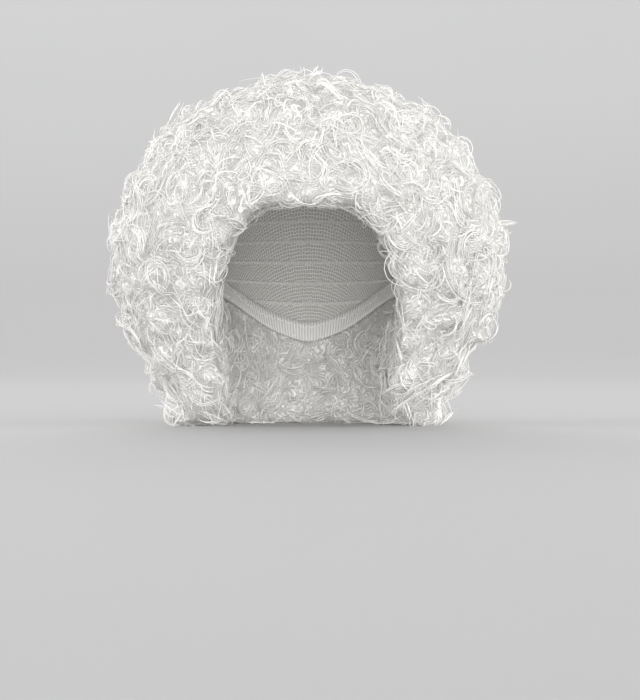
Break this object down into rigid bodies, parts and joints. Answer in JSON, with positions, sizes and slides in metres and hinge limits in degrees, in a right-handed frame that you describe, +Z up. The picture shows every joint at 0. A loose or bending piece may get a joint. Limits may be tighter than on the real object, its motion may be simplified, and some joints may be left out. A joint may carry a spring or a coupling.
{
  "type": "clown wig",
  "caption": "Round curly wig with a face opening, built from rows of curled hair sewn round a stretch cap with an elastic edge.",
  "frame": {"origin": "inside of the cap's crown, where the top of the wearer's head sits", "axes": "+Z up as worn, the face opening looks along -Y, the wearer's left is +X"},
  "size_m": [0.3282, 0.3067, 0.2867],
  "materials": {
    "net": "white stretch net",
    "elastic": "white woven elastic",
    "hair": "white curled synthetic fibre with a soft sheen"
  },
  "bodies": {
    "root": {"cap": "net", "edge_band": "elastic", "weft_crown": "hair", "weft_top": "hair", "weft_hairline": "hair", "weft_temple": "hair", "weft_neck": "hair", "weft_nape": "hair"}
  },
  "joints": []
}
